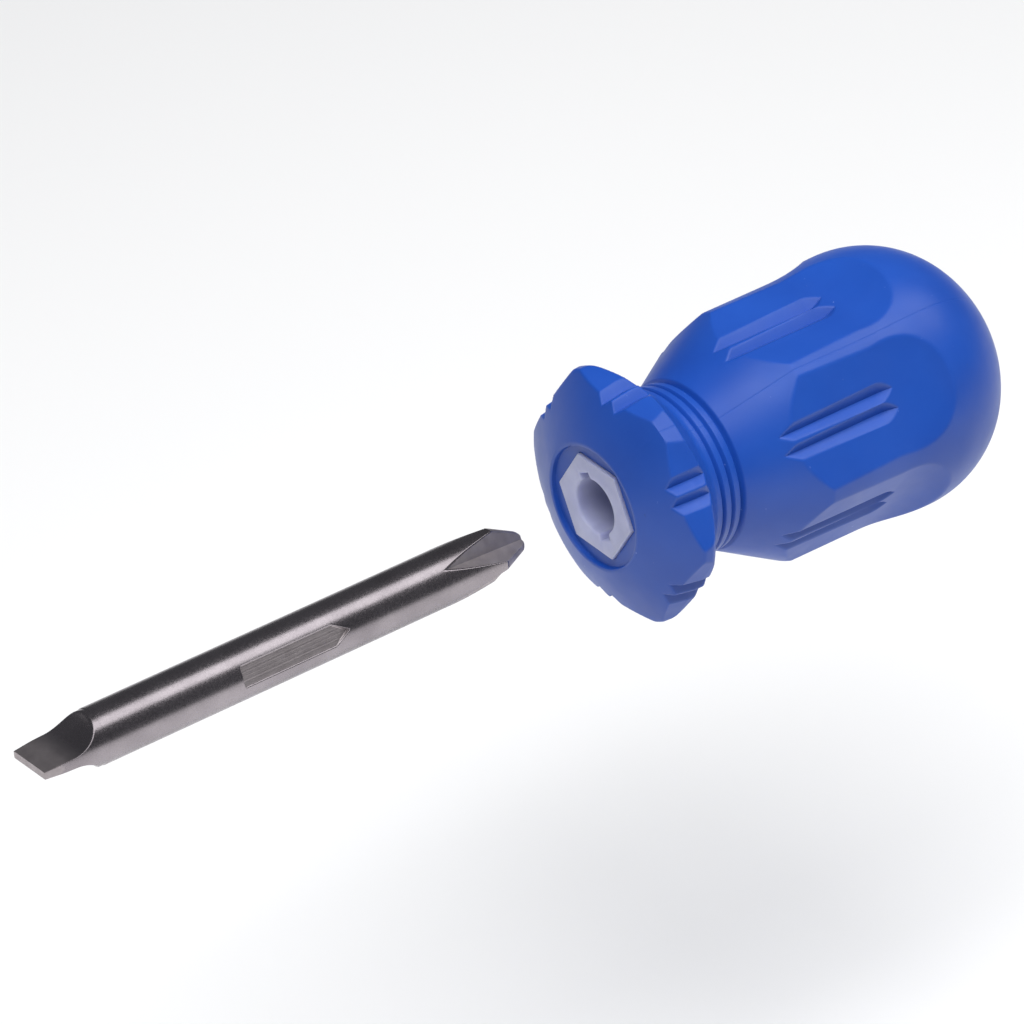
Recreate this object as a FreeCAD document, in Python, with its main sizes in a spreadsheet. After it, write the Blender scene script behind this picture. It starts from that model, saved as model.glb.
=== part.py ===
import FreeCAD, Part
import math
import os

import Sketcher
from FreeCAD import Placement, Rotation, Vector

# Stubby screwdriver with a reversible blade, in millimetres.
# X runs along the axis: the nose and the blade are towards -X, the tail towards +X.
# The origin is the centre of the socket's mouth, and +Z is up.

SIZES = {
    # handle: stations along X
    "rim_x": -0.2,           # front rim around the socket
    "recess_floor_x": 0.7,   # floor of the shallow round recess
    "collar_front_x": 3.1,   # widest part of the anti-roll collar
    "collar_rear_x": 4.5,
    "neck_front_x": 8.2,
    "neck_rear_x": 12.0,
    "crest_x": 20.6,         # where the front cone meets the barrel of the grip
    "waist_x": 29.3,         # end of the barrel, start of the tail swell
    "swell_x": 37.9,         # widest part of the grip
    "shoulder_x": 47.3,      # where the swell meets the ball of the tail
    "tail_x": 51.2,
    # handle: radii from the axis, and radii of the outline's arcs
    "recess_r": 6.8,
    "collar_r": 13.9,
    "neck_front_r": 9.75,
    "neck_rear_r": 9.3,
    "crest_r": 13.95,
    "swell_r": 14.6,
    "dome_arc": 34.0,
    "swell_arc": 57.0,
    "side_arc": 12.5,
    "tail_arc": 15.6,
    # three fine grooves turned into the neck
    "ring_x": 8.79,
    "ring_pitch": 1.35,
    "ring_half_width": 0.66,
    "ring_floor_r": 9.1,
    "ring_top_r": 10.2,
    # six facets on the collar and six flutes in the grip
    "side_count": 6,
    "facet_h": 12.66,
    "flute_front_h": 12.31,
    "flute_rear_h": 12.63,
    "runout_x": 30.8,
    "runout_arc": 13.0,
    "runout_end_x": 39.8,
    "runout_end_h": 16.25,
    "cut_top": 20.0,
    "cut_width": 18.0,
    # pair of V grooves on each facet and in each flute
    "groove_spread": 1.1,
    "groove_lift": 0.8,
    "facet_groove_h": 11.86,
    "grip_groove_h": 11.7,
    "grip_ridge_h": 12.6,
    "grip_start_x": 13.8,
    "grip_length": 15.4,
    "scoop_length": 2.6,
    "scoop_rise": 0.95,
    # socket insert, and the hexagonal pocket that it is pressed into
    "hex_corner_r": 5.85,
    "insert_length": 38.3,
    "bore_r": 3.06,
    "key_half_width": 0.85,
    "key_reach": 3.68,
    "key_depth": 12.45,
    # reversible blade: stations from the slotted end
    "blade_x": -70.0,
    "blade_length": 60.0,
    "shaft_r": 3.0,
    "slot_end_r": 2.93,
    "slot_end_x": 7.3,
    "tip_half_thick": 0.4,
    "root_half_thick": 0.6,
    "tip_flat_x": 3.3,
    "cheek_arc": 3.75,
    "cheek_x": 6.85,
    "cheek_h": 3.14,
    "tip_half_width": 2.7,
    "tip_side_x": 2.6,
    "blade_cut_top": 4.5,
    "cone_x": 56.3,
    "point_x": 59.75,
    "point_r": 1.25,
    "point_face_r": 1.0,
    "cross_start_x": 60.4,
    "cross_web_r": 0.67,
    "cross_half_width": 7.5,
    "cross_length": 12.0,
    "cross_rise": 2.454,
    # pressed flats, and the two slight drive wings squeezed out beside them
    "flat_h": 2.72,
    "flat_depth": 1.5,
    "flat_start_x": 23.4,
    "flat_shoulder_x": 34.43,
    "flat_end_x": 36.6,
    "flat_half_width": 2.5,
    "flat_turn": 6.0,        # out of square with the wings, in degrees
    "wing_start_x": 23.7,
    "wing_front_x": 24.8,
    "wing_rear_x": 35.2,
    "wing_end_x": 36.3,
    "wing_root": 2.4,
    "wing_reach": 3.12,
    "wing_width": 1.3,
    # turns about X, in degrees
    "wing_turn": -30.0,      # wings and key slots stand 30 degrees off vertical
    "tip_turn": 24.0,        # the slotted tip, measured round from the wings
    "tip_side_turn": 114.0,
    "cross_turn": -21.0,
}

SMALL = 1e-6
QUARTER_ROOT_THREE = math.sqrt(3) / 2

doc = FreeCAD.newDocument("stubby_screwdriver")
sheet = doc.addObject("Spreadsheet::Sheet", "sizes")
for row, (alias, number) in enumerate(SIZES.items(), start=1):
    sheet.set(f"A{row}", alias)
    sheet.set(f"B{row}", str(number))
    sheet.setAlias(f"B{row}", alias)
doc.recompute()


def cell(name, factor=1.0):
    """A length of the sheet, as its number now and the expression that follows the sheet."""
    return SIZES[name] * factor, f"sizes.{name} * {factor}"


NONE = (0.0, "0")


def bind(thing, place, length):
    thing.setExpression(place, length[1])


def new_body(label):
    body = doc.addObject("PartDesign::Body", label)
    body.Label = label
    return body


def datum(body, role):
    return next(f for f in body.Origin.OriginFeatures if f.Role == role)


def new_sketch(body, name, plane, lift=NONE, turn=NONE):
    """Sketch on an origin plane, lifted off it and turned about X where asked."""
    sketch = body.newObject("Sketcher::SketchObject", name)
    sketch.AttachmentSupport = [(datum(body, plane), "")]
    sketch.MapMode = "FlatFace"
    # X is the normal of YZ_Plane, and the first direction of XZ_Plane
    axis = Vector(0, 0, 1) if plane == "YZ_Plane" else Vector(1, 0, 0)
    rotation = Rotation(axis, turn[0])
    sketch.AttachmentOffset = Placement(rotation.multVec(Vector(0, 0, lift[0])), rotation)
    if turn is not NONE:
        bind(sketch, ".AttachmentOffset.Rotation.Angle", turn)
    if lift is not NONE and plane == "XZ_Plane":
        swing = f"({turn[1]}) * 1 deg"
        sketch.setExpression(".AttachmentOffset.Base.y", f"-({lift[1]}) * sin({swing})")
        sketch.setExpression(".AttachmentOffset.Base.z", f"({lift[1]}) * cos({swing})")
    elif lift is not NONE:
        bind(sketch, ".AttachmentOffset.Base.z", lift)
    return sketch


def arc_middle(start, end, radius, side):
    """Middle of the shorter arc, which bulges left (1) or right (-1) of its chord."""
    chord = end - start
    half = chord.Length / 2
    bulge = radius - math.sqrt(radius * radius - half * half)
    left = Vector(-chord.y, chord.x, 0).normalize()
    return (start + end) * 0.5 + left * (bulge * side)


def fix_point(sketch, point, x, y):
    """Hold a point of an edge at x, y, both bound to the sheet."""
    for kind, place, axis in (("DistanceX", x, -2), ("DistanceY", y, -1)):
        if abs(place[0]) < SMALL:
            sketch.addConstraint(Sketcher.Constraint("PointOnObject", *point, axis))
        else:
            rule = Sketcher.Constraint(kind, -1, 1, *point, place[0])
            bind(sketch, f"Constraints[{sketch.addConstraint(rule)}]", place)


def draw_outline(sketch, corners):
    """Closed outline of corners (x, y), or (x, y, radius, side) where an arc leaves."""
    points = [Vector(c[0][0], c[1][0], 0) for c in corners]
    edges = []
    for corner, start, end in zip(corners, points, points[1:] + points[:1]):
        if len(corner) == 2:
            edges.append(Part.LineSegment(start, end))
        else:
            middle = arc_middle(start, end, corner[2][0], corner[3])
            edges.append(Part.Arc(start, middle, end))
    sketch.addGeometry(edges, False)
    # an arc is kept anticlockwise, so its first point can be the far end of the edge
    near = []
    for index, start in enumerate(points):
        gap = sketch.getPoint(index, 1).distanceToPoint(start)
        near.append(1 if gap < SMALL else 2)
    for index, corner in enumerate(corners):
        before = index - 1 if index else len(corners) - 1
        joint = Sketcher.Constraint("Coincident", before, 3 - near[before], index, near[index])
        sketch.addConstraint(joint)
        fix_point(sketch, (index, near[index]), corner[0], corner[1])
        if len(corner) == 4:
            rule = Sketcher.Constraint("Radius", index, corner[2][0])
            bind(sketch, f"Constraints[{sketch.addConstraint(rule)}]", corner[2])


def draw_circle(sketch, radius):
    sketch.addGeometry(Part.Circle(Vector(0, 0, 0), Vector(0, 0, 1), radius[0]), False)
    sketch.addConstraint(Sketcher.Constraint("Coincident", 0, 3, -1, 1))
    rule = Sketcher.Constraint("Radius", 0, radius[0])
    bind(sketch, f"Constraints[{sketch.addConstraint(rule)}]", radius)


def draw_hexagon(sketch, corner):
    """Hexagon with two flats level, from the radius to its corners."""
    half = cell(corner, 0.5)
    flat = cell(corner, QUARTER_ROOT_THREE)
    minus_half = cell(corner, -0.5)
    minus_flat = cell(corner, -QUARTER_ROOT_THREE)
    draw_outline(sketch, [
        (cell(corner), NONE),
        (half, flat),
        (minus_half, flat),
        (cell(corner, -1.0), NONE),
        (minus_half, minus_flat),
        (half, minus_flat),
    ])


def draw_groove_pair(sketch, floor, ridge, lift):
    """Section of two V grooves side by side, left open above the surface they are cut in."""
    top = (ridge[0] + lift[0], f"{ridge[1]} + {lift[1]}")
    draw_outline(sketch, [
        (cell("groove_spread", -3.0), top),
        (cell("groove_spread", -1.0), floor),
        (NONE, ridge),
        (cell("groove_spread"), floor),
        (cell("groove_spread", 3.0), top),
    ])


def revolve(body, sketch, name):
    feature = body.newObject("PartDesign::Revolution", name)
    feature.Profile = sketch
    feature.ReferenceAxis = (sketch, ["H_Axis"])
    feature.Angle = 360.0
    return feature


def pad(body, sketch, name, length, sides="One side"):
    feature = body.newObject("PartDesign::Pad", name)
    feature.Profile = sketch
    feature.SideType = sides
    feature.Length = length[0]
    bind(feature, "Length", length)
    return feature


def pocket(body, sketch, name, length, sides="One side", forward=True, slope=None):
    """Cut along the sketch's normal if forward. A slope is the rise of a slanting cut."""
    doc.recompute()
    before = body.Shape.Volume
    feature = body.newObject("PartDesign::Pocket", name)
    feature.Profile = sketch
    feature.SideType = sides
    feature.Length = length[0]
    bind(feature, "Length", length)
    feature.Reversed = forward
    if slope is not None:
        feature.UseCustomVector = True
        feature.AlongSketchNormal = True
        feature.Direction = slope
    doc.recompute()
    if body.Shape.Volume > before - SMALL:
        raise RuntimeError(f"{name} cuts nothing")
    return feature


def repeat_about_x(body, features, name, count):
    pattern = body.newObject("PartDesign::PolarPattern", name)
    pattern.Originals = features
    pattern.Axis = (datum(body, "X_Axis"), [""])
    pattern.Angle = 360.0
    pattern.Occurrences = count
    body.Tip = pattern
    doc.recompute()
    return pattern


def make_handle():
    """One blue moulding: collar, ringed neck, fluted grip, and the pocket for the insert."""
    body = new_body("handle")

    # the tail is a ball about the axis, which sets the radius where the swell meets it
    reach = SIZES["shoulder_x"] - SIZES["tail_x"] + SIZES["tail_arc"]
    shoulder_r = (
        math.sqrt(SIZES["tail_arc"] ** 2 - reach ** 2),
        "sqrt(sizes.tail_arc ^ 2 - (sizes.shoulder_x - sizes.tail_x + sizes.tail_arc) ^ 2)",
    )
    outline = new_sketch(body, "handle_outline", "XZ_Plane")
    draw_outline(outline, [
        (cell("recess_floor_x"), NONE),
        (cell("recess_floor_x"), cell("recess_r")),
        (cell("rim_x"), cell("recess_r"), cell("dome_arc"), 1),
        (cell("collar_front_x"), cell("collar_r")),
        (cell("collar_rear_x"), cell("collar_r")),
        (cell("neck_front_x"), cell("neck_front_r")),
        (cell("neck_rear_x"), cell("neck_rear_r")),
        (cell("crest_x"), cell("crest_r")),
        (cell("waist_x"), cell("crest_r"), cell("swell_arc"), -1),
        (cell("swell_x"), cell("swell_r"), cell("side_arc"), 1),
        (cell("shoulder_x"), shoulder_r, cell("tail_arc"), 1),
        (cell("tail_x"), NONE),
    ])
    revolve(body, outline, "handle_solid")

    rings = new_sketch(body, "neck_ring", "XZ_Plane")
    ring_rear = (
        SIZES["ring_x"] + 2 * SIZES["ring_half_width"],
        "sizes.ring_x + 2 * sizes.ring_half_width",
    )
    ring_middle = (
        SIZES["ring_x"] + SIZES["ring_half_width"],
        "sizes.ring_x + sizes.ring_half_width",
    )
    draw_outline(rings, [
        (cell("ring_x"), cell("ring_top_r")),
        (ring_middle, cell("ring_floor_r")),
        (ring_rear, cell("ring_top_r")),
    ])
    groove = body.newObject("PartDesign::Groove", "neck_ring_groove")
    groove.Profile = rings
    groove.ReferenceAxis = (rings, ["H_Axis"])
    groove.Angle = 360.0
    row_of_rings = body.newObject("PartDesign::LinearPattern", "neck_rings")
    row_of_rings.Originals = [groove]
    row_of_rings.Direction = (datum(body, "X_Axis"), [""])
    row_of_rings.Length = 2 * SIZES["ring_pitch"]
    row_of_rings.setExpression("Length", "2 * sizes.ring_pitch")
    row_of_rings.Occurrences = 3
    body.Tip = row_of_rings

    facet = new_sketch(body, "facet_cut", "XZ_Plane")
    draw_outline(facet, [
        (cell("rim_x"), cell("facet_h")),
        (cell("neck_front_x"), cell("facet_h")),
        (cell("neck_front_x"), cell("cut_top")),
        (cell("rim_x"), cell("cut_top")),
    ])
    facet_cut = pocket(body, facet, "facet", cell("cut_width"), "Symmetric")
    notches = new_sketch(body, "facet_grooves_cut", "YZ_Plane")
    draw_groove_pair(notches, cell("facet_groove_h"), cell("facet_h"), cell("groove_lift"))
    notch_cut = pocket(body, notches, "facet_grooves", cell("neck_front_x"))

    flute = new_sketch(body, "flute_cut", "XZ_Plane")
    draw_outline(flute, [
        (cell("neck_rear_x"), cell("flute_front_h")),
        (cell("runout_x"), cell("flute_rear_h"), cell("runout_arc"), -1),
        (cell("runout_end_x"), cell("runout_end_h")),
        (cell("runout_end_x"), cell("cut_top")),
        (cell("neck_rear_x"), cell("cut_top")),
    ])
    flute_cut = pocket(body, flute, "flute", cell("cut_width"), "Symmetric")
    grip = new_sketch(body, "grip_grooves_cut", "YZ_Plane", cell("grip_start_x"))
    draw_groove_pair(grip, cell("grip_groove_h"), cell("grip_ridge_h"), cell("groove_lift"))
    grip_cut = pocket(body, grip, "grip_grooves", cell("grip_length"))
    scoop_x = (
        SIZES["grip_start_x"] + SIZES["grip_length"],
        "sizes.grip_start_x + sizes.grip_length",
    )
    scoop = new_sketch(body, "groove_scoops_cut", "YZ_Plane", scoop_x)
    draw_groove_pair(scoop, cell("grip_groove_h"), cell("grip_ridge_h"), cell("groove_lift"))
    lift_out = Vector(SIZES["scoop_length"], 0, SIZES["scoop_rise"])
    scoop_cut = pocket(
        body, scoop, "groove_scoops", cell("scoop_length"), forward=False, slope=lift_out
    )
    cuts = [facet_cut, notch_cut, flute_cut, grip_cut, scoop_cut]
    repeat_about_x(body, cuts, "six_sides", SIZES["side_count"])

    hexagon = new_sketch(body, "insert_pocket_cut", "YZ_Plane")
    draw_hexagon(hexagon, "hex_corner_r")
    body.Tip = pocket(body, hexagon, "insert_pocket", cell("insert_length"))
    return body


def make_insert():
    """Pale hexagonal sleeve with a round bore and two key slots for the blade's drive wings."""
    body = new_body("socket_insert")
    hexagon = new_sketch(body, "insert_outline", "YZ_Plane")
    draw_hexagon(hexagon, "hex_corner_r")
    pad(body, hexagon, "insert_solid", cell("insert_length"))

    bore = new_sketch(body, "bore_cut", "YZ_Plane")
    draw_circle(bore, cell("bore_r"))
    pocket(body, bore, "bore", cell("insert_length"))

    keys = new_sketch(body, "key_slots_cut", "YZ_Plane", turn=cell("wing_turn"))
    draw_outline(keys, [
        (cell("key_half_width", -1.0), cell("key_reach", -1.0)),
        (cell("key_half_width"), cell("key_reach", -1.0)),
        (cell("key_half_width"), cell("key_reach")),
        (cell("key_half_width", -1.0), cell("key_reach")),
    ])
    body.Tip = pocket(body, keys, "key_slots", cell("key_depth"))
    return body


def make_blade():
    """Double-ended steel blade, drawn from its slotted end with the wings along Z."""
    body = new_body("blade")
    outline = new_sketch(body, "blade_outline", "XZ_Plane")
    draw_outline(outline, [
        (NONE, NONE),
        (NONE, cell("slot_end_r")),
        (cell("slot_end_x"), cell("slot_end_r")),
        (cell("slot_end_x"), cell("shaft_r")),
        (cell("cone_x"), cell("shaft_r")),
        (cell("point_x"), cell("point_r")),
        (cell("blade_length"), cell("point_face_r")),
        (cell("blade_length"), NONE),
    ])
    revolve(body, outline, "blade_solid")

    wings = new_sketch(body, "wings_outline", "XZ_Plane")
    draw_outline(wings, [
        (cell("wing_start_x"), cell("wing_root", -1.0)),
        (cell("wing_front_x"), cell("wing_reach", -1.0)),
        (cell("wing_rear_x"), cell("wing_reach", -1.0)),
        (cell("wing_end_x"), cell("wing_root", -1.0)),
        (cell("wing_end_x"), cell("wing_root")),
        (cell("wing_rear_x"), cell("wing_reach")),
        (cell("wing_front_x"), cell("wing_reach")),
        (cell("wing_start_x"), cell("wing_root")),
    ])
    pad(body, wings, "wings", cell("wing_width"), "Symmetric")

    flat = new_sketch(body, "pressed_flat_cut", "XZ_Plane", cell("flat_h"), cell("flat_turn"))
    draw_outline(flat, [
        (cell("flat_start_x"), cell("flat_half_width", -1.0)),
        (cell("flat_shoulder_x"), cell("flat_half_width", -1.0)),
        (cell("flat_end_x"), NONE),
        (cell("flat_shoulder_x"), cell("flat_half_width")),
        (cell("flat_start_x"), cell("flat_half_width")),
    ])
    flat_cut = pocket(body, flat, "pressed_flat", cell("flat_depth"))

    cheek = new_sketch(body, "cheek_cut", "XZ_Plane", turn=cell("tip_turn"))
    draw_outline(cheek, [
        (NONE, cell("tip_half_thick")),
        (cell("tip_flat_x"), cell("root_half_thick"), cell("cheek_arc"), -1),
        (cell("cheek_x"), cell("cheek_h")),
        (cell("cheek_x"), cell("blade_cut_top")),
        (NONE, cell("blade_cut_top")),
    ])
    cheek_cut = pocket(body, cheek, "cheek", cell("cut_width"), "Symmetric")
    side = new_sketch(body, "tip_side_cut", "XZ_Plane", turn=cell("tip_side_turn"))
    draw_outline(side, [
        (NONE, cell("tip_half_width")),
        (cell("tip_side_x"), cell("slot_end_r")),
        (cell("tip_side_x"), cell("blade_cut_top")),
        (NONE, cell("blade_cut_top")),
    ])
    side_cut = pocket(body, side, "tip_side", cell("cut_width"), "Symmetric")
    repeat_about_x(body, [flat_cut, cheek_cut, side_cut], "both_sides", 2)

    cross = new_sketch(
        body, "cross_flute_cut", "YZ_Plane", cell("cross_start_x"), cell("cross_turn")
    )
    draw_outline(cross, [
        (NONE, cell("cross_web_r")),
        (cell("cross_half_width"), cell("blade_cut_top")),
        (cell("cross_half_width", -1.0), cell("blade_cut_top")),
    ])
    doc.recompute()
    up = cross.Placement.Rotation.multVec(Vector(0, 1, 0))
    run_out = up * SIZES["cross_rise"] - Vector(SIZES["cross_length"], 0, 0)
    cross_cut = pocket(
        body, cross, "cross_flute", cell("cross_length"), forward=False, slope=run_out
    )
    repeat_about_x(body, [cross_cut], "cross_flutes", 4)

    turn = Rotation(Vector(1, 0, 0), SIZES["wing_turn"])
    body.Placement = Placement(Vector(SIZES["blade_x"], 0, 0), turn)
    bind(body, "Placement.Base.x", cell("blade_x"))
    bind(body, "Placement.Rotation.Angle", cell("wing_turn"))
    return body


def check_and_export(bodies):
    doc.recompute()
    for thing in doc.Objects:
        if "Invalid" in thing.State or "Error" in thing.State:
            raise RuntimeError(f"{thing.Label} did not build: {thing.State}")
    os.makedirs("parts", exist_ok=True)
    for body in bodies:
        if body.Shape.isNull() or not body.Shape.isValid() or len(body.Shape.Solids) != 1:
            raise RuntimeError(f"{body.Label} is not one valid solid")
        body.Shape.exportStep(f"parts/{body.Label}.step")
        print(body.Label, round(body.Shape.Volume, 2), body.Shape.BoundBox)


check_and_export([make_handle(), make_insert(), make_blade()])
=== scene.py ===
import math

import bpy
import numpy as np
from mathutils import Matrix, Vector


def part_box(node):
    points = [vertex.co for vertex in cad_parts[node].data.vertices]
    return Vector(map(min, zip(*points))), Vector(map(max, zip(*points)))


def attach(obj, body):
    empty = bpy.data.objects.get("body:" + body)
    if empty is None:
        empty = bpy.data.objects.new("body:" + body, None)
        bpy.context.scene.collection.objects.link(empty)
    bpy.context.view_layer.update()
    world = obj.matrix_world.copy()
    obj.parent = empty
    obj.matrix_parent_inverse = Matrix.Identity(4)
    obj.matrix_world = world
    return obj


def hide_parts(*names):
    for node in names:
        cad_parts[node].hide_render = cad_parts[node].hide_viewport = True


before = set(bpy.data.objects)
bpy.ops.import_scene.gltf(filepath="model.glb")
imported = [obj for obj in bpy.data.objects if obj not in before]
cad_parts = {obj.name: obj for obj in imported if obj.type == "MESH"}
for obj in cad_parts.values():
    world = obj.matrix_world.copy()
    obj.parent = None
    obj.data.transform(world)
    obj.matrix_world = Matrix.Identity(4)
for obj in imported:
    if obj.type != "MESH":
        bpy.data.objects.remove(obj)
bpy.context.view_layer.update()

# Sizes are in millimetres and degrees, unless a comment says otherwise, and meshes are scaled to
# metres when they are made. Angles around the axis run from +Z towards +Y. A point is an x and the
# height over the axis there. A *_BLEND is the width over which two surfaces are rounded together.
METRES = 0.001
TINY = 1e-6
handle_low, handle_high = (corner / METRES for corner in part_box("handle"))
blade_low, blade_high = (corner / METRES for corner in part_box("blade"))
insert_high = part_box("socket_insert")[1] / METRES

# Handle
RIM_X = handle_low.x
TAIL_X = handle_high.x
SWELL_R = handle_high.z
RECESS_FLOOR_X = 0.4
RECESS_R = 6.8
LIP_WIDTH = 0.35
COLLAR_FRONT_X = 3.1
COLLAR_R = 14.0
COLLAR_REAR_X = 4.5
COLLAR_FRONT_BLEND = 0.35
COLLAR_REAR_BLEND = 0.5
NECK_FRONT = (8.2, 9.75)
NECK_REAR = (12.0, 9.3)
NECK_START_X = COLLAR_REAR_X + 0.6
NECK_END_X = NECK_REAR[0] + 0.8
NECK_FRONT_BLEND = 0.6
NECK_REAR_BLEND = 0.1
CREST = (20.6, 13.95)
CREST_START_X = 19.8
CREST_END_X = 21.4
CREST_BLEND = 0.12
WAIST_X = 29.3
SWELL_X = 37.9
SHOULDER_X = 47.3
DOME_ARC = 34.0
SIDE_ARC = 12.5
TAIL_ARC = 15.6
TAIL_TURN = (60.0, 1.0)
TAIL_ROWS = 90
RING_X = (9.45, 10.8, 12.15)
RINGS_START_X = 8.6
RINGS_END_X = 13.2
RING_HALF_WIDTH = 0.36
RING_DEPTH = 0.48
SIDES = 6
SIDE_TURN = 360.0 / SIDES
CORNER_TURN = SIDE_TURN / 2
SIDE_BLEND = 0.1
FACET_H = 12.66
FACET_TAPER = 0.17
FLUTE_FRONT_H = 12.31
FLUTE_REAR_H = 12.63
RUNOUT_X = 30.8
RUNOUT_ARC = 13.0
RUNOUT_REACH = RUNOUT_ARC * 0.96
GROOVE_SPREAD = 1.1
GROOVE_SLOPE = 0.8
GROOVE_BLEND = 0.05
GROOVE_EDGE = 0.07
FACET_GROOVE_H = 11.86
GRIP_GROOVE_H = 11.7
SCOOP_X = 29.2
SCOOP_CURVE = 0.2
SCOOP_END_X = 32.2
FACE_PLANE_H = 12.5
COLUMN_GAP = 0.6
PARTING_ANGLES = (-30.0, 150.0)
PARTING_DEPTH = 0.022
PARTING_HALF_WIDTH = 0.09
PARTING_FLAT_H = 13.52
# pairs of (distance from the recess wall, distance from the recess floor or the rim)
FLOOR_ROUND = ((0.25, 0.0), (0.07, 0.06), (0.0, 0.25))
LIP_ROUND = ((0.0, 0.15), (0.04, 0.05), (0.14, 0.0), (LIP_WIDTH - 0.08, 0.0))
POCKET_CHAMFER = 0.1

# Socket insert
POCKET_X = insert_high.x
HEX_CORNER_R = insert_high.y
BORE_R = 3.06
KEY_HALF_WIDTH = 0.85
KEY_REACH = 3.68
KEY_X = 12.45
KEY_ANGLE = 30.0
KEY_FLOOR = 0.05
KEY_CORNER_BLEND = 0.4
KEY_ROOT_BLEND = 0.3
BORE_EDGE = 0.28
HEX_EDGE = 0.1
HEX_CORNER_BLEND = 0.12
INSERT_BACK_WALL = 0.5

# Blade, with X counted from its slotted end
BLADE_X = blade_low.x
BLADE_LENGTH = blade_high.x - blade_low.x
SHAFT_R = 3.0
SLOT_END_R = 2.93
SLOT_END_X = 7.3
SLOT_END_RISE = 0.06
TIP_ANGLE = 6.0
TIP_HALF_THICK = 0.4
ROOT_HALF_THICK = 0.6
TIP_FLAT_X = 3.3
CHEEK_ARC = 3.75
CHEEK = (6.85, 3.14)
CHEEK_END_SLOPE = 3
CHEEK_BLEND = 0.3
TIP_HALF_WIDTH = 2.7
TIP_SIDE_X = 2.6
TIP_SIDE_BLEND = 0.05
TIP_COLUMNS = 60
CONE_X = 56.3
CONE_BLEND = 0.06
POINT = (59.75, 1.25)
POINT_BLEND = 0.1
POINT_FACE_R = 1.0
CROSS_WEB_R = 0.75
CROSS_SLOPE = 0.2045
CROSS_OPENING = 63.0
CROSS_ANGLE = TIP_ANGLE + 45.0
CROSS_START_X = 48.6
CROSS_LEAST_SPREAD = 0.05
CROSS_BLEND = 0.05
PANEL_ANGLE = -66.0
PANEL_FRONT_X = 23.4
PANEL_REAR_X = 36.6
PANEL_POINT = 1.9
PANEL_POINT_SHARE = 0.55
PANEL_BULGE = 0.25
PANEL_H = 2.66
PANEL_HALF_WIDTH = 1.22
PANEL_WALL_H = SHAFT_R + 0.05
PANEL_WALL_SLOPE = 2.2
PANEL_BLEND = 0.03
PANEL_MARGIN = 0.1
PANEL_LINE_H = 0.0042
PANEL_LINE_PITCH = 0.44

# Where the steel's finish changes, as (start, end): from ground to plated with the distance from
# the axis, and along the smooth hollow behind the slotted tip
GROUND_R = (2.87, 2.9)
HOLLOW_X = (BLADE_X + TIP_FLAT_X - 1.2, BLADE_X + TIP_FLAT_X + 1.3)
HOLLOW_END_X = (BLADE_X + SLOT_END_X - 0.1, BLADE_X + SLOT_END_X)

# Creases sharper than this stay sharp in the shading
SHARP_ANGLE = 38.0

# The floor's depth below the handle, then its reach, and the lights' place, size and power, all in
# metres and watts
FLOOR_DEPTH = 0.06
FLOOR_REACH = 3.0
OVERHEAD = ((0.05, -0.12, 0.5), (1.2, 0.34), 2.7)
FILL = ((-0.05, -0.2, 0.9), (0.9, 0.9), 8.6)
SKY_COLOR = (0.9, 0.93, 1.0, 1.0)
SKY_STRENGTH = 0.12

# Camera: its angles round the object, its distance and its aim
CAMERA_AZIMUTH = -38.358
CAMERA_ELEVATION = 34.936
CAMERA_DISTANCE = 535.0
CAMERA_SIDESTEP = 8.338
CAMERA_DROP = 0.441
CAMERA_LENS = 182.65
CAMERA_SENSOR = 36.0
CAMERA_CLIP = (0.01, 20.0)


# Shape tools

def smooth_min(a, b, blend):
    """The lower of two heights, rounded where they cross."""
    gap = np.maximum(blend - np.abs(a - b), 0.0)
    return np.minimum(a, b) - gap * gap / (4 * blend)


def smooth_max(a, b, blend):
    """The higher of two heights, rounded where they cross."""
    return -smooth_min(-a, -b, blend)


def line(x, start, end):
    """Height at x of the straight line through two points."""
    return start[1] + (x - start[0]) * (end[1] - start[1]) / (end[0] - start[0])


def arc(x, start, end, radius, bulge):
    """Height at x of the arc between two points, bulging up (1) or down (-1)."""
    start, end = np.array(start), np.array(end)
    half = np.linalg.norm(end - start) / 2
    across = np.array([-(end - start)[1], (end - start)[0]]) / (2 * half)
    centre = (start + end) / 2 - across * bulge * math.sqrt(radius ** 2 - half ** 2)
    drop = np.maximum(radius ** 2 - (x - centre[0]) ** 2, 0.0)
    return centre[1] + bulge * np.sqrt(drop)


def turn_apart(angle, other):
    """Signed angle from one direction to another, in radians."""
    return np.radians((angle - other + 180.0) % 360.0 - 180.0)


def nearest_apart(angle, other, count):
    """Signed angle from the nearest of count even turns from a direction, in radians."""
    return turn_apart(angle * count, other * count) / count


def side_tilt(angle):
    """Signed angle from the middle of the nearest flat side, in radians."""
    tilt = turn_apart(angle % SIDE_TURN, 0.0)
    return np.where(tilt > math.pi / SIDES, tilt - 2 * math.pi / SIDES, tilt)


def hexagon_radius(tilt):
    """Radius of the insert's hexagon, and of the pocket that it fills."""
    return HEX_CORNER_R * math.cos(math.radians(CORNER_TURN)) / np.cos(tilt)


def steps(*stretches):
    """Stations along a line: each stretch is (start, end, spacing), without its end."""
    return np.concatenate([
        np.linspace(start, end, max(round((end - start) / gap), 1), endpoint=False)
        for start, end, gap in stretches
    ])


def ring_points(x, angle, radius):
    """Rings of points round the X axis, at radius[row, column] from it."""
    turn = np.radians(np.broadcast_to(angle, radius.shape))
    along = np.broadcast_to(x, radius.shape)
    points = np.stack([along, radius * np.sin(turn), radius * np.cos(turn)], axis=-1)
    return points.reshape(-1, 3).tolist()


def ring_faces(rows, columns, joins_up):
    """Faces between neighbouring rings, and from the last ring to the first where they join up."""
    faces = []
    for row in range(rows if joins_up else rows - 1):
        here, there = row * columns, (row + 1) % rows * columns
        for column in range(columns):
            beside = (column + 1) % columns
            faces.append((here + column, there + column, there + beside, here + beside))
    return faces


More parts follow.
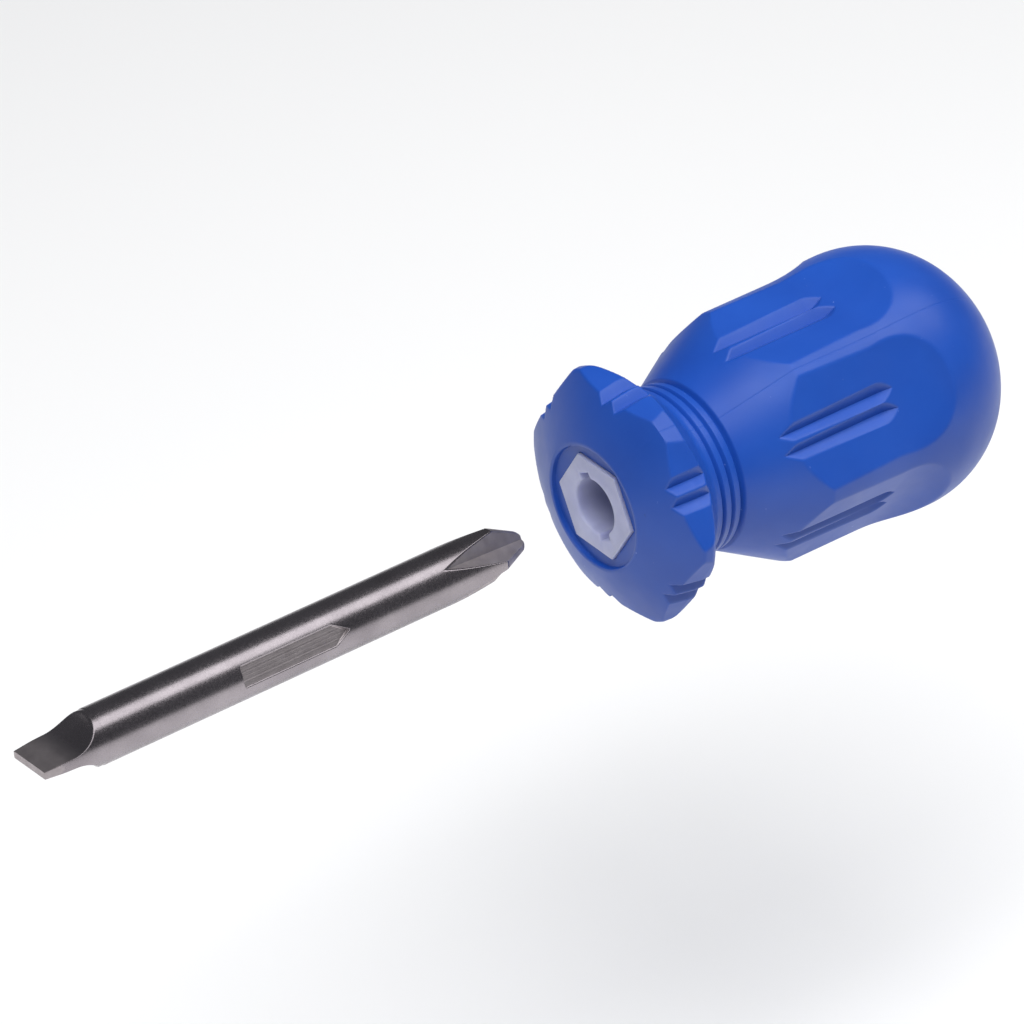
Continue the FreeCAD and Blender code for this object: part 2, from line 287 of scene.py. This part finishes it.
def cap_faces(rows, columns):
    """Fans from two end points, stored after the rings, to the first and the last ring."""
    front, back, last = rows * columns, rows * columns + 1, (rows - 1) * columns
    faces = []
    for column in range(columns):
        beside = (column + 1) % columns
        faces.append((front, column, beside))
        faces.append((back, last + beside, last + column))
    return faces


def make_piece(name, node, points, faces, material):
    """Makes a mesh piece that replaces a node of the frame."""
    mesh = bpy.data.meshes.new(name)
    mesh.from_pydata(points, [], faces)
    mesh.transform(Matrix.Scale(METRES, 4))
    mesh.validate()
    mesh.shade_smooth()
    mesh.set_sharp_from_angle(angle=math.radians(SHARP_ANGLE))
    mesh.materials.append(material)
    piece = bpy.data.objects.new(name, mesh)
    bpy.context.scene.collection.objects.link(piece)
    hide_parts(node)
    return piece


def make_skin(name, node, x, angle, radius, material):
    """Closed skin over rings of points, capped at both ends."""
    rows, columns = radius.shape
    points = ring_points(x, angle, radius)
    points += [(points[0][0], 0, 0), (points[-1][0], 0, 0)]
    faces = ring_faces(rows, columns, False) + cap_faces(rows, columns)
    return make_piece(name, node, points, faces, material)


# Handle

def handle_profile(x):
    """Radius of the handle before its flat sides are cut."""
    dome = arc(x, (RIM_X, RECESS_R + LIP_WIDTH), (COLLAR_FRONT_X, COLLAR_R), DOME_ARC, 1)
    collar = smooth_min(dome, np.full_like(x, COLLAR_R), COLLAR_FRONT_BLEND)
    rear = line(x, (COLLAR_REAR_X, COLLAR_R), NECK_FRONT)
    collar = smooth_min(collar, rear, COLLAR_REAR_BLEND)
    necked = smooth_max(collar, line(x, NECK_FRONT, NECK_REAR), NECK_FRONT_BLEND)
    collar = np.where(x > NECK_START_X, necked, collar)

    share = np.clip((x - WAIST_X) / (SWELL_X - WAIST_X), 0, 1)
    swell = CREST[1] + (SWELL_R - CREST[1]) * (1 - np.cos(math.pi * share)) / 2
    shoulder_r = math.sqrt(TAIL_ARC ** 2 - (SHOULDER_X - TAIL_X + TAIL_ARC) ** 2)
    side = arc(x, (SWELL_X, SWELL_R), (SHOULDER_X, shoulder_r), SIDE_ARC, 1)
    tail = np.sqrt(np.maximum(TAIL_ARC ** 2 - (x - TAIL_X + TAIL_ARC) ** 2, 0.0))
    bulb = np.where(x < SWELL_X, swell, np.where(x < SHOULDER_X, side, tail))
    bulb = smooth_min(bulb, line(x, NECK_REAR, CREST), CREST_BLEND)

    radius = np.where(x < NECK_END_X, smooth_max(collar, bulb, NECK_REAR_BLEND), bulb)
    for ring_x in RING_X:
        near = np.clip(np.abs(x - ring_x) / RING_HALF_WIDTH, 0, 1)
        radius = radius - RING_DEPTH * (1 + np.cos(math.pi * near)) / 2
    return radius


def facet_drop(x):
    """How far the collar's facets fall towards the nose."""
    return FACET_TAPER * np.maximum(COLLAR_REAR_X - x, 0.0)


def side_height(x):
    """Distance from the axis of the flat sides: the collar's facets, then the grip's flutes."""
    floor = line(x, (NECK_REAR[0], FLUTE_FRONT_H), (RUNOUT_X, FLUTE_REAR_H))
    past = np.clip(x - RUNOUT_X, 0.0, RUNOUT_REACH)
    runout = FLUTE_REAR_H + RUNOUT_ARC - np.sqrt(RUNOUT_ARC ** 2 - past ** 2)
    flute = np.where(x < RUNOUT_X, floor, runout)
    return np.where(x < NECK_REAR[0], FACET_H - facet_drop(x), flute)


def groove_height(x, across):
    """Distance from the axis of the pair of V grooves in each side, at a place across it."""
    wall = np.abs(np.abs(across) - GROOVE_SPREAD) * GROOVE_SLOPE
    scoop = np.maximum(x - SCOOP_X, 0.0) ** 2 * SCOOP_CURVE
    notch = FACET_GROOVE_H - facet_drop(x)
    return np.where(x < NECK_REAR[0], notch, GRIP_GROOVE_H + scoop) + wall


def handle_columns():
    """Angles round the handle, closer together along the grooves and the parting line."""
    # places across a side, from its middle: between the creases, then at both sides of each one
    marks = list(steps((0.2, 1.0, 0.16), (1.25, 2.1, 0.17), (2.35, 2.8, 0.15)))
    for crease in (0.0, GROOVE_SPREAD, 2 * GROOVE_SPREAD):
        marks += [crease - GROOVE_EDGE, crease, crease + GROOVE_EDGE]
    marks = np.unique(np.round([mark for mark in marks if mark >= 0], 4))
    grooves = np.degrees(np.arctan(marks / FACE_PLANE_H))
    seam = math.degrees(PARTING_HALF_WIDTH / COLLAR_R)
    outer = steps((grooves[-1] + COLUMN_GAP, CORNER_TURN - 2 * seam, COLUMN_GAP))
    line_sides = CORNER_TURN - seam * np.array([2, 1, 0.5])
    half = np.concatenate([grooves, outer, line_sides])
    sextant = np.concatenate([-half[:0:-1], half, [CORNER_TURN]])
    return np.concatenate([sextant + SIDE_TURN * side for side in range(SIDES)])


def handle_stations():
    """Places along the handle, from the rim to the tail."""
    tail_turn = np.radians(np.linspace(*TAIL_TURN, TAIL_ROWS))
    tail_x = TAIL_X - TAIL_ARC * (1 - np.cos(tail_turn))
    x = steps(
        (RIM_X, 1.0, 0.06),
        (1.0, NECK_START_X, 0.12),
        (NECK_START_X, RINGS_START_X, 0.16),
        (RINGS_START_X, RINGS_END_X, 0.07),
        (RINGS_END_X, CREST_START_X, 0.2),
        (CREST_START_X, CREST_END_X, 0.1),
        (CREST_END_X, SCOOP_X, 0.4),
        (SCOOP_X, SCOOP_END_X, 0.12),
        (SCOOP_END_X, tail_x[0], 0.22),
    )
    return np.concatenate([x, tail_x])[:, None]


def cut_sides(x, angle, radius):
    """Cuts the flat sides and their grooves into the round handle."""
    tilt = side_tilt(angle)
    across = FACE_PLANE_H * np.tan(tilt)
    flat = side_height(x) / np.cos(tilt)
    grooves = groove_height(x, across) / np.cos(tilt)
    return smooth_min(smooth_min(radius, flat, SIDE_BLEND), grooves, GROOVE_BLEND)


def cut_parting(x, angle, radius, round_r):
    """Cuts the parting line, and flattens the collar's two corners that lie on it."""
    for parting in PARTING_ANGLES:
        turn = turn_apart(angle, parting)
        on_corner = np.abs(turn) < math.pi / SIDES
        blunt = np.where(on_corner, PARTING_FLAT_H / np.cos(turn), 2 * COLLAR_R)
        radius = np.where(x < NECK_FRONT[0], smooth_min(radius, blunt, SIDE_BLEND), radius)
        depth = np.maximum(1 - np.abs(turn) * round_r / PARTING_HALF_WIDTH, 0.0)
        radius = radius - PARTING_DEPTH * depth
    return radius


def pocket_rows(angle):
    """The handle's inside: (x, radius) rings from the bottom of the pocket forward to the rim."""
    hexagon = hexagon_radius(side_tilt(angle))
    rows = [
        (POCKET_X, hexagon),
        (RECESS_FLOOR_X + POCKET_CHAMFER, hexagon),
        (RECESS_FLOOR_X, hexagon + POCKET_CHAMFER),
    ]
    for inset, rise in FLOOR_ROUND:
        rows.append((RECESS_FLOOR_X - rise, np.full_like(hexagon, RECESS_R - inset)))
    for inset, drop in LIP_ROUND:
        rows.append((RIM_X + drop, np.full_like(hexagon, RECESS_R + inset)))
    return rows


def make_handle(material):
    angle = handle_columns()[None, :]
    x = handle_stations()
    round_r = handle_profile(x)
    radius = cut_sides(x, angle, round_r)
    radius = cut_parting(x, angle, radius, round_r)

    inside = pocket_rows(angle)
    x = np.concatenate([np.array([[row[0]] for row in inside]), x])
    radius = np.concatenate([row[1] for row in inside] + [radius])
    return make_skin("handle_moulding", "handle", x, angle, radius, material)


# Socket insert

def bore_radius(angle, has_keys):
    """Radius of the bore, with its two key slots where they reach."""
    circle = np.full_like(angle, BORE_R)
    if not has_keys:
        return circle
    apart = np.abs(nearest_apart(angle, KEY_ANGLE, 2))
    side = KEY_HALF_WIDTH / np.maximum(np.sin(apart), TINY)
    key = smooth_min(side, KEY_REACH / np.cos(apart), KEY_CORNER_BLEND)
    return smooth_max(circle, key, KEY_ROOT_BLEND)


def edge_rows(edge, radius, outwards):
    """(x, radius) rings round a quarter circle, from a wall to the front face at x = 0."""
    quarter = np.radians([0, 30, 60, 90])
    return [
        (edge * (1 - math.sin(turn)), radius + outwards * edge * (1 - math.cos(turn)))
        for turn in quarter
    ]


def make_insert(material):
    angle = np.arange(0.0, 360.0, 1.0)[None, :]
    hexagon = hexagon_radius(side_tilt(angle))
    hexagon = smooth_min(hexagon, np.full_like(hexagon, HEX_CORNER_R), HEX_CORNER_BLEND)
    keyed = bore_radius(angle, True)
    plain = bore_radius(angle, False)
    rows = [(POCKET_X, plain), (KEY_X + KEY_FLOOR, plain), (KEY_X, keyed)]
    rows += edge_rows(BORE_EDGE, keyed, 1)
    rows += edge_rows(HEX_EDGE, hexagon, -1)[::-1]
    rows += [(POCKET_X, hexagon), (POCKET_X, plain + INSERT_BACK_WALL)]
    x = np.array([[row[0]] for row in rows])
    radius = np.concatenate([row[1] for row in rows])
    points = ring_points(x, angle, radius)
    faces = ring_faces(*radius.shape, True)
    return make_piece("hex_sleeve", "socket_insert", points, faces, material)


# Blade

def blade_profile(x):
    """Radius of the round blade before its ends are ground."""
    rise = (SLOT_END_X - SLOT_END_RISE, SLOT_END_X + SLOT_END_RISE)
    shaft = np.interp(x, rise, (SLOT_END_R, SHAFT_R))
    cone = line(x, (CONE_X, SHAFT_R), POINT)
    chamfer = line(x, POINT, (BLADE_LENGTH, POINT_FACE_R))
    return smooth_min(shaft, smooth_min(cone, chamfer, POINT_BLEND), CONE_BLEND)


def cheek_height(x):
    """Half thickness of the slotted tip, then the hollow-ground rise to the shaft."""
    flat = line(x, (0, TIP_HALF_THICK), (TIP_FLAT_X, ROOT_HALF_THICK))
    in_hollow = np.clip(x, TIP_FLAT_X, CHEEK[0])
    hollow = arc(in_hollow, (TIP_FLAT_X, ROOT_HALF_THICK), CHEEK, CHEEK_ARC, -1)
    past = CHEEK[1] + (x - CHEEK[0]) * CHEEK_END_SLOPE
    return np.where(x < TIP_FLAT_X, flat, np.where(x < CHEEK[0], hollow, past))


def side_width(x):
    """Half width of the slotted tip, which widens to the ground end of the shaft."""
    return line(x, (0, TIP_HALF_WIDTH), (TIP_SIDE_X, SLOT_END_R))


def blade_columns(x):
    """Angles from the tip's flat side, in four quarters that follow its corners along the tip."""
    height = np.minimum(cheek_height(x), SLOT_END_R * math.cos(math.radians(45)))
    width = np.minimum(side_width(x), np.sqrt(SLOT_END_R ** 2 - height ** 2))
    corner = np.arctan2(width, height)
    share = np.linspace(0, 1, TIP_COLUMNS)[None, :]
    on_flat = np.degrees(np.arctan(width / height * share))
    on_side = np.degrees(corner) + (90 - np.degrees(corner)) * share[:, 1:]
    quarter = np.concatenate([on_flat, on_side], axis=1)
    mirrored = 180 - quarter[:, -2::-1]
    half = np.concatenate([quarter, mirrored], axis=1)
    return np.concatenate([half[:, :-1], 180 + half[:, :-1]], axis=1) + TIP_ANGLE


def press_panels(x, angle, radius):
    """Sinks the two pressed panels, with fine lines along them."""
    apart = np.abs(nearest_apart(angle, PANEL_ANGLE, 2))
    across = radius * np.sin(apart)
    turn = across * 2 * math.pi / PANEL_LINE_PITCH
    # two sets of lines, so that they look uneven
    lines = PANEL_LINE_H * (np.cos(turn) + 0.7 * np.cos(1.7 * turn + 1))
    floor = (PANEL_H + lines) / np.cos(apart)
    front = (x - PANEL_FRONT_X) - PANEL_BULGE * (across / PANEL_HALF_WIDTH) ** 6
    rear = (PANEL_REAR_X - x) - PANEL_POINT * across / PANEL_HALF_WIDTH
    inside = np.minimum(np.minimum(front, rear * PANEL_POINT_SHARE), PANEL_HALF_WIDTH - across)
    wall = PANEL_WALL_H - inside * PANEL_WALL_SLOPE
    pressed = smooth_min(radius, smooth_max(floor, wall, PANEL_BLEND), PANEL_BLEND)
    return np.where(inside > -PANEL_MARGIN, pressed, radius)


def cut_cross(x, angle, radius):
    """Grinds the four V flutes of the cross point."""
    apart = nearest_apart(angle, CROSS_ANGLE, 4)
    web = CROSS_WEB_R + CROSS_SLOPE * (BLADE_LENGTH - x)
    spread = np.cos(apart) - np.abs(np.sin(apart)) / math.tan(math.radians(CROSS_OPENING))
    meets = spread > CROSS_LEAST_SPREAD
    flute = np.where(meets, web / np.maximum(spread, CROSS_LEAST_SPREAD), 2 * SHAFT_R)
    return smooth_min(radius, flute, CROSS_BLEND)


def blade_stations():
    """Places along the blade, from the slotted end to the point."""
    x = steps(
        (0.0, 0.3, 0.04),
        (0.3, TIP_FLAT_X, 0.15),
        (TIP_FLAT_X, SLOT_END_X - 0.1, 0.05),
        (SLOT_END_X - 0.1, SLOT_END_X + 0.1, 0.02),
        (SLOT_END_X + 0.1, PANEL_FRONT_X - 0.2, 1.5),
        (PANEL_FRONT_X - 0.2, PANEL_FRONT_X + 1.5, 0.05),
        (PANEL_FRONT_X + 1.5, PANEL_REAR_X - 2.6, 0.6),
        (PANEL_REAR_X - 2.6, PANEL_REAR_X + 0.3, 0.05),
        (PANEL_REAR_X + 0.3, CROSS_START_X, 1.5),
        (CROSS_START_X, CONE_X - 0.2, 0.08),
        (CONE_X - 0.2, BLADE_LENGTH, 0.05),
    )
    return np.append(x, BLADE_LENGTH)[:, None]


def grind_slot(x, angle, radius):
    """Grinds the slotted tip: its two sides, then its flats with the hollows behind them."""
    apart = turn_apart(angle, TIP_ANGLE)
    width = np.where(x < TIP_SIDE_X, side_width(x), 2 * SHAFT_R)
    side = width / np.maximum(np.abs(np.sin(apart)), TINY)
    flat = cheek_height(x) / np.maximum(np.abs(np.cos(apart)), TINY)
    return smooth_min(smooth_min(radius, side, TIP_SIDE_BLEND), flat, CHEEK_BLEND)


def make_blade(material):
    x = blade_stations()
    angle = blade_columns(x)
    radius = np.broadcast_to(blade_profile(x), angle.shape)
    radius = grind_slot(x, angle, radius)
    radius = press_panels(x, angle, radius)
    radius = cut_cross(x, angle, radius)
    place = x + BLADE_X
    return make_skin("reversible_blade", "blade", place, angle, radius, material)


# Materials

def new_material(name):
    material = bpy.data.materials.new(name)
    material.use_nodes = True
    shader = material.node_tree.nodes["Principled BSDF"]
    return material, material.node_tree, shader


def add_noise(tree, scale, detail, roughness=0.5):
    """Noise over the object's own coordinates, with its scale in features per metre."""
    place = tree.nodes.new("ShaderNodeTexCoord")
    noise = tree.nodes.new("ShaderNodeTexNoise")
    noise.inputs["Scale"].default_value = scale
    noise.inputs["Detail"].default_value = detail
    noise.inputs["Roughness"].default_value = roughness
    tree.links.new(place.outputs["Object"], noise.inputs["Vector"])
    return noise.outputs["Fac"]


def add_ramp(tree, value, stops):
    """Colour ramp over a value, from (place, color) stops."""
    ramp = tree.nodes.new("ShaderNodeValToRGB")
    while len(ramp.color_ramp.elements) < len(stops):
        ramp.color_ramp.elements.new(0.5)
    for element, (place, color) in zip(ramp.color_ramp.elements, stops):
        element.position = place
        element.color = (*color, 1.0)
    tree.links.new(value, ramp.inputs["Fac"])
    return ramp.outputs["Color"]


def add_mix(tree, share, first, second):
    mix = tree.nodes.new("ShaderNodeMix")
    mix.data_type = "RGBA"
    tree.links.new(share, mix.inputs["Factor"])
    tree.links.new(first, mix.inputs["A"])
    tree.links.new(second, mix.inputs["B"])
    return mix.outputs["Result"]


def add_math(tree, operation, first, second):
    node = tree.nodes.new("ShaderNodeMath")
    node.operation = operation
    tree.links.new(first, node.inputs[0])
    tree.links.new(second, node.inputs[1])
    return node.outputs["Value"]


def add_rise(tree, value, start, end):
    """Rises from 0 to 1 while a value, in millimetres, goes from start to end."""
    rise = tree.nodes.new("ShaderNodeMapRange")
    rise.inputs["From Min"].default_value = start * METRES
    rise.inputs["From Max"].default_value = end * METRES
    tree.links.new(value, rise.inputs["Value"])
    return rise.outputs["Result"]


def add_place_x(tree):
    """Place along the object."""
    place = tree.nodes.new("ShaderNodeTexCoord")
    parts = tree.nodes.new("ShaderNodeSeparateXYZ")
    tree.links.new(place.outputs["Object"], parts.inputs["Vector"])
    return parts.outputs["X"]


def add_reach(tree):
    """Distance from the X axis."""
    place = tree.nodes.new("ShaderNodeTexCoord")
    across = tree.nodes.new("ShaderNodeVectorMath")
    across.operation = "MULTIPLY"
    across.inputs[1].default_value = (0.0, 1.0, 1.0)
    reach = tree.nodes.new("ShaderNodeVectorMath")
    reach.operation = "LENGTH"
    tree.links.new(place.outputs["Object"], across.inputs[0])
    tree.links.new(across.outputs["Vector"], reach.inputs[0])
    return reach.outputs["Value"]


def add_bump(tree, shader, value, strength, distance, below=None):
    """Bump of a height in millimetres, over another one where below is given."""
    bump = tree.nodes.new("ShaderNodeBump")
    bump.inputs["Strength"].default_value = strength
    bump.inputs["Distance"].default_value = distance * METRES
    tree.links.new(value, bump.inputs["Height"])
    if below is not None:
        tree.links.new(below, bump.inputs["Normal"])
    tree.links.new(bump.outputs["Normal"], shader.inputs["Normal"])
    return bump.outputs["Normal"]


def grey(value):
    return (value, value, value)


def handle_plastic():
    """Cobalt polypropylene: faint flow mottling, tiny pale specks, and a fine moulded skin."""
    material, tree, shader = new_material("blue_polypropylene")
    mottle = add_ramp(tree, add_noise(tree, 90.0, 5.0), [
        (0.3, (0.008, 0.062, 0.37)),
        (0.7, (0.012, 0.078, 0.43)),
    ])
    speck_color = add_ramp(tree, add_noise(tree, 700.0, 2.0), [
        (0.45, (0.01, 0.04, 0.2)),
        (0.55, (0.3, 0.42, 0.85)),
    ])
    speck_share = add_ramp(tree, add_noise(tree, 1500.0, 1.0), [
        (0.78, grey(0.0)),
        (0.84, grey(0.35)),
    ])
    tree.links.new(add_mix(tree, speck_share, mottle, speck_color), shader.inputs["Base Color"])
    gloss = add_ramp(tree, add_noise(tree, 260.0, 6.0), [(0.3, grey(0.36)), (0.7, grey(0.46))])
    tree.links.new(gloss, shader.inputs["Roughness"])
    skin = add_bump(tree, shader, add_noise(tree, 3200.0, 3.0), 0.12, 0.02)
    add_bump(tree, shader, add_noise(tree, 300.0, 3.0), 0.15, 0.04, skin)
    shader.inputs["IOR"].default_value = 1.5
    shader.inputs["Specular IOR Level"].default_value = 0.52
    shader.inputs["Subsurface Weight"].default_value = 0.06
    shader.inputs["Subsurface Radius"].default_value = (0.4, 0.6, 1.0)
    shader.inputs["Subsurface Scale"].default_value = 0.6 * METRES
    return material


def insert_plastic():
    """Milky nylon that lets some light through."""
    material, tree, shader = new_material("milky_nylon")
    cloud = add_ramp(tree, add_noise(tree, 350.0, 4.0), [
        (0.3, (0.38, 0.40, 0.60)),
        (0.7, (0.46, 0.48, 0.68)),
    ])
    tree.links.new(cloud, shader.inputs["Base Color"])
    gloss = add_ramp(tree, add_noise(tree, 900.0, 3.0), [(0.3, grey(0.34)), (0.7, grey(0.48))])
    tree.links.new(gloss, shader.inputs["Roughness"])
    add_bump(tree, shader, add_noise(tree, 1800.0, 3.0), 0.12, 0.02)
    shader.inputs["Subsurface Weight"].default_value = 0.7
    shader.inputs["Subsurface Radius"].default_value = (1.0, 1.0, 1.2)
    shader.inputs["Subsurface Scale"].default_value = 2.0 * METRES
    return material


def blade_steel():
    """Nickel plate over a fine-grained steel, with a light tarnish."""
    material, tree, shader = new_material("nickel_plated_steel")
    tone = add_ramp(tree, add_noise(tree, 240.0, 6.0), [
        (0.3, (0.28, 0.252, 0.27)),
        (0.7, (0.36, 0.326, 0.346)),
    ])
    ground_tone = add_ramp(tree, add_noise(tree, 900.0, 6.0), [
        (0.3, (0.40, 0.36, 0.37)),
        (0.7, (0.50, 0.455, 0.465)),
    ])
    x = add_place_x(tree)
    past_start, past_end = add_rise(tree, x, *HOLLOW_X), add_rise(tree, x, *HOLLOW_END_X)
    in_hollow = add_math(tree, "SUBTRACT", past_start, past_end)
    smooth = add_math(tree, "MAXIMUM", add_rise(tree, add_reach(tree), *GROUND_R), in_hollow)
    tree.links.new(add_mix(tree, smooth, ground_tone, tone), shader.inputs["Base Color"])
    plated = add_ramp(tree, add_noise(tree, 4200.0, 4.0, 0.7), [
        (0.3, grey(0.2)),
        (0.7, grey(0.34)),
    ])
    ground = add_ramp(tree, add_noise(tree, 5200.0, 4.0, 0.7), [
        (0.3, grey(0.46)),
        (0.7, grey(0.58)),
    ])
    tree.links.new(add_mix(tree, smooth, ground, plated), shader.inputs["Roughness"])
    add_bump(tree, shader, add_noise(tree, 3600.0, 4.0, 0.75), 0.5, 0.012)
    shader.inputs["Metallic"].default_value = 1.0
    return material


def floor_finish():
    """Matt off-white, with a very faint unevenness."""
    material, tree, shader = new_material("pale_floor")
    tone = add_ramp(tree, add_noise(tree, 3.0, 2.0), [(0.3, grey(0.90)), (0.7, grey(0.93))])
    tree.links.new(tone, shader.inputs["Base Color"])
    shader.inputs["Roughness"].default_value = 0.9
    return material


# Stage, light and camera

def make_floor(material):
    level = handle_low.z * METRES - FLOOR_DEPTH
    mesh = bpy.data.meshes.new("floor")
    corners = [
        (FLOOR_REACH * x, FLOOR_REACH * y, level)
        for x, y in ((-1, -1), (1, -1), (1, 1), (-1, 1))
    ]
    mesh.from_pydata(corners, [], [(0, 1, 2, 3)])
    mesh.materials.append(material)
    floor = bpy.data.objects.new("floor", mesh)
    bpy.context.scene.collection.objects.link(floor)


def add_softbox(name, place, size, power):
    """Flat light facing down, with its place and size in metres."""
    light = bpy.data.lights.new(name, "AREA")
    light.shape = "RECTANGLE"
    light.size, light.size_y = size
    light.energy = power
    box = bpy.data.objects.new(name, light)
    bpy.context.scene.collection.objects.link(box)
    box.location = place
    return box


def make_light():
    world = bpy.data.worlds.new("studio")
    bpy.context.scene.world = world
    world.use_nodes = True
    backdrop = world.node_tree.nodes["Background"]
    backdrop.inputs["Color"].default_value = SKY_COLOR
    backdrop.inputs["Strength"].default_value = SKY_STRENGTH
    add_softbox("overhead", *OVERHEAD)
    # the fill lights the surfaces without a reflection of its own in the steel
    fill = add_softbox("fill", *FILL)
    fill.visible_glossy = False
    bpy.context.scene.view_settings.view_transform = "Standard"


def make_camera():
    azimuth, elevation = math.radians(CAMERA_AZIMUTH), math.radians(CAMERA_ELEVATION)
    back = Vector((
        math.sin(azimuth) * math.cos(elevation),
        -math.cos(azimuth) * math.cos(elevation),
        math.sin(elevation),
    ))
    right = Vector((math.cos(azimuth), math.sin(azimuth), 0))
    up = back.cross(right)
    lens = bpy.data.cameras.new("camera")
    lens.lens = CAMERA_LENS
    lens.sensor_width = CAMERA_SENSOR
    camera = bpy.data.objects.new("camera", lens)
    bpy.context.scene.collection.objects.link(camera)
    aim = right * -CAMERA_SIDESTEP + up * -CAMERA_DROP
    aim.x += RIM_X
    camera.location = (back * CAMERA_DISTANCE + aim) * METRES
    camera.rotation_euler = Matrix((right, up, back)).transposed().to_euler()
    lens.clip_start, lens.clip_end = CAMERA_CLIP
    bpy.context.scene.camera = camera


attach(make_handle(handle_plastic()), "handle")
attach(make_insert(insert_plastic()), "handle")
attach(make_blade(blade_steel()), "blade")
make_floor(floor_finish())
make_light()
make_camera()
